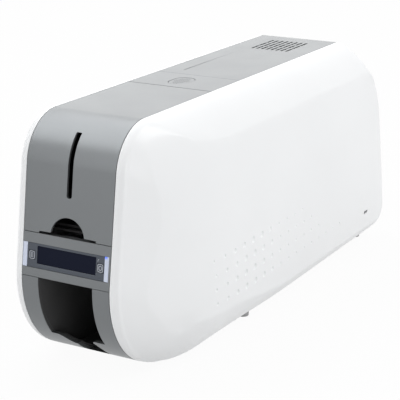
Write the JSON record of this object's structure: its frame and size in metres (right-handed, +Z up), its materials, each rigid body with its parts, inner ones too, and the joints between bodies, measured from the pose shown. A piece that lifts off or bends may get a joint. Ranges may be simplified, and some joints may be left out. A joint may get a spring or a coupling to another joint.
{
  "type": "id card printer",
  "caption": "Desktop card printer: white side shells round a grey strip with a lifting hopper cover and top cover, a display bar and an open card pocket in front.",
  "frame": {"origin": "centre of the footprint on the table, under the middle of the machine", "axes": "+X to the right seen from the front, +Y from the front to the rear, +Z up; the front with its display faces -Y"},
  "size_m": [0.173, 0.4914, 0.2174],
  "materials": {
    "grey_plastic": "fine satin texture",
    "white_plastic": "soft satin gloss",
    "black_plastic": "fine texture",
    "plated_steel": "zinc plated sheet",
    "panel_plastic": "smooth",
    "screen_glass": "gloss",
    "light_plastic": "translucent look",
    "circuit_board": "solder mask",
    "black_rubber": "matte",
    "tan_rubber": "matte",
    "blue_rubber": "tacky satin",
    "brass_bush": "turned",
    "aluminium_part": "satin",
    "motor_case": "satin black",
    "dark_metal": "satin",
    "cassette_plastic": "satin",
    "ribbon_roll": "glossy film"
  },
  "bodies": {
    "root": {"base_tray": "black_plastic", "left_side_plate": "plated_steel", "right_side_plate": "plated_steel", "left_side_shell": "white_plastic", "right_side_shell": "white_plastic", "frame_spacers": "plated_steel", "display_bar": "grey_plastic", "display_bezel": "panel_plastic", "display_window": "screen_glass", "display_board": "circuit_board", "light_bars": "light_plastic", "output_fascia": "grey_plastic", "output_tray": "black_plastic", "card_hopper": "black_plastic", "mid_cover": "grey_plastic", "rear_panel": "grey_plastic", "card_guide": "black_plastic", "cassette_frame": "cassette_plastic", "feed_motor": "motor_case", "ribbon_motor": "motor_case", "flip_motor": "motor_case", "main_board": "circuit_board", "io_board": "circuit_board", "usb_port": "plated_steel", "network_port": "plated_steel", "power_jack": "black_plastic", "fan_frame": "black_plastic", "bushings": "brass_bush", "hinge_pins": "plated_steel", "frame_screws": "plated_steel", "feet": "black_rubber", "drive_belts": "black_rubber", "switch_housing": "black_plastic"},
    "hopper_cover": {"hopper_cover": "grey_plastic"},
    "top_cover": {"top_cover": "grey_plastic", "head_bracket": "plated_steel", "print_head": "dark_metal", "head_heat_sink": "aluminium_part"},
    "open_button": {"open_button": "grey_plastic"},
    "release_lever": {"release_lever": "plated_steel"},
    "left_button": {"left_button": "panel_plastic"},
    "right_button": {"right_button": "panel_plastic"},
    "power_rocker": {"power_rocker": "black_plastic"},
    "card_weight": {"card_weight": "dark_metal"},
    "platen_roller": {"platen_shaft": "plated_steel", "platen_sleeve": "black_rubber"},
    "pickup_roller": {"pickup_roller": "tan_rubber"},
    "cleaning_roller": {"cleaning_roller": "blue_rubber"},
    "front_feed_roller": {"front_feed_roller": "black_rubber"},
    "middle_feed_roller": {"middle_feed_roller": "black_rubber"},
    "rear_feed_roller": {"rear_feed_roller": "black_rubber"},
    "front_pinch_roller": {"front_pinch_roller": "plated_steel"},
    "middle_pinch_roller": {"middle_pinch_roller": "plated_steel"},
    "rear_pinch_roller": {"rear_pinch_roller": "plated_steel"},
    "supply_spool": {"supply_spool": "ribbon_roll"},
    "takeup_spool": {"takeup_spool": "ribbon_roll"},
    "flip_frame": {"flip_frame": "aluminium_part"},
    "fan_rotor": {"fan_rotor": "black_plastic"},
    "motor_pulley": {"motor_pulley": "plated_steel"},
    "flip_pulley": {"flip_pulley": "plated_steel"}
  },
  "joints": [
    {"name": "hopper_cover_hinge", "type": "hinge", "parent": "root", "child": "hopper_cover", "pos_m": [0, -0.08276, 0.2114], "axis": [-1, 0, 0], "range_deg": [0, 75]},
    {"name": "top_cover_hinge", "type": "hinge", "parent": "root", "child": "top_cover", "pos_m": [0, 0.19095, 0.2094], "axis": [-1, 0, 0], "range_deg": [0, 65]},
    {"name": "open_button_press", "type": "slide", "parent": "root", "child": "open_button", "axis": [0, 0, -1], "range_m": [0, 0.0022], "stiffness_N_per_m": 600, "springref_m": -0.001},
    {"name": "release_lever_tilt", "type": "hinge", "parent": "root", "child": "release_lever", "pos_m": [0, -0.03496, 0.2054], "axis": [1, 0, 0], "range_deg": [0, 7.6]},
    {"name": "left_button_press", "type": "slide", "parent": "root", "child": "left_button", "axis": [0, 0.9903, -0.1392], "range_m": [0, 0.0006], "stiffness_N_per_m": 800, "springref_m": -0.0005},
    {"name": "right_button_press", "type": "slide", "parent": "root", "child": "right_button", "axis": [0, 0.9903, -0.1392], "range_m": [0, 0.0006], "stiffness_N_per_m": 800, "springref_m": -0.0005},
    {"name": "power_rocker_tilt", "type": "hinge", "parent": "root", "child": "power_rocker", "pos_m": [0.024, 0.2242, 0.09748], "axis": [0, 0.2368, -0.9715], "range_deg": [0, 14]},
    {"name": "card_weight_slide", "type": "slide", "parent": "root", "child": "card_weight", "axis": [0, 0, 1], "range_m": [0, 0.06]},
    {"name": "platen_spin", "type": "hinge", "parent": "root", "child": "platen_roller", "pos_m": [0, 0.04254, 0.1176], "axis": [1, 0, 0], "continuous": true},
    {"name": "pickup_spin", "type": "hinge", "parent": "root", "child": "pickup_roller", "pos_m": [0, -0.15846, 0.1176], "axis": [1, 0, 0], "continuous": true},
    {"name": "cleaning_spin", "type": "hinge", "parent": "root", "child": "cleaning_roller", "pos_m": [0, -0.12246, 0.1324], "axis": [1, 0, 0], "continuous": true},
    {"name": "front_feed_spin", "type": "hinge", "parent": "root", "child": "front_feed_roller", "pos_m": [0, -0.09146, 0.1176], "axis": [1, 0, 0], "continuous": true},
    {"name": "middle_feed_spin", "type": "hinge", "parent": "root", "child": "middle_feed_roller", "pos_m": [0, -0.02146, 0.1176], "axis": [1, 0, 0], "continuous": true},
    {"name": "rear_feed_spin", "type": "hinge", "parent": "root", "child": "rear_feed_roller", "pos_m": [0, 0.10454, 0.1176], "axis": [1, 0, 0], "continuous": true},
    {"name": "front_pinch_spin", "type": "hinge", "parent": "root", "child": "front_pinch_roller", "pos_m": [0, -0.09146, 0.1304], "axis": [1, 0, 0], "continuous": true},
    {"name": "middle_pinch_spin", "type": "hinge", "parent": "root", "child": "middle_pinch_roller", "pos_m": [0, -0.02146, 0.1304], "axis": [1, 0, 0], "continuous": true},
    {"name": "rear_pinch_spin", "type": "hinge", "parent": "root", "child": "rear_pinch_roller", "pos_m": [0, 0.10454, 0.1304], "axis": [1, 0, 0], "continuous": true},
    {"name": "motor_pulley_spin", "type": "hinge", "parent": "root", "child": "motor_pulley", "pos_m": [0, 0.02054, 0.0796], "axis": [1, 0, 0], "continuous": true},
    {"name": "takeup_spin", "type": "hinge", "parent": "root", "child": "takeup_spool", "pos_m": [0, 0.08854, 0.1646], "axis": [1, 0, 0], "continuous": true},
    {"name": "supply_spin", "type": "hinge", "parent": "root", "child": "supply_spool", "pos_m": [0, -0.00446, 0.1646], "axis": [1, 0, 0], "continuous": true},
    {"name": "flip_turn", "type": "hinge", "parent": "root", "child": "flip_frame", "pos_m": [0, 0.16995, 0.125], "axis": [1, 0, 0], "continuous": true},
    {"name": "flip_pulley_spin", "type": "hinge", "parent": "root", "child": "flip_pulley", "pos_m": [0, 0.15395, 0.05], "axis": [1, 0, 0], "continuous": true},
    {"name": "fan_spin", "type": "hinge", "parent": "root", "child": "fan_rotor", "pos_m": [-0.012, 0.23319, 0.04882], "axis": [0, 0.9715, 0.2368], "continuous": true}
  ],
  "couplings": [
    {"joint": "release_lever_tilt", "follows": "open_button_press", "rad_per_m": 58.824},
    {"joint": "pickup_spin", "follows": "platen_spin", "ratio": 1},
    {"joint": "front_feed_spin", "follows": "platen_spin", "ratio": 1},
    {"joint": "middle_feed_spin", "follows": "platen_spin", "ratio": 1},
    {"joint": "rear_feed_spin", "follows": "platen_spin", "ratio": 1},
    {"joint": "motor_pulley_spin", "follows": "platen_spin", "ratio": 2},
    {"joint": "front_pinch_spin", "follows": "platen_spin", "ratio": -1.4},
    {"joint": "middle_pinch_spin", "follows": "platen_spin", "ratio": -1.4},
    {"joint": "rear_pinch_spin", "follows": "platen_spin", "ratio": -1.4},
    {"joint": "cleaning_spin", "follows": "platen_spin", "ratio": -1},
    {"joint": "supply_spin", "follows": "takeup_spin", "ratio": 1},
    {"joint": "flip_pulley_spin", "follows": "flip_turn", "ratio": 1.875}
  ]
}
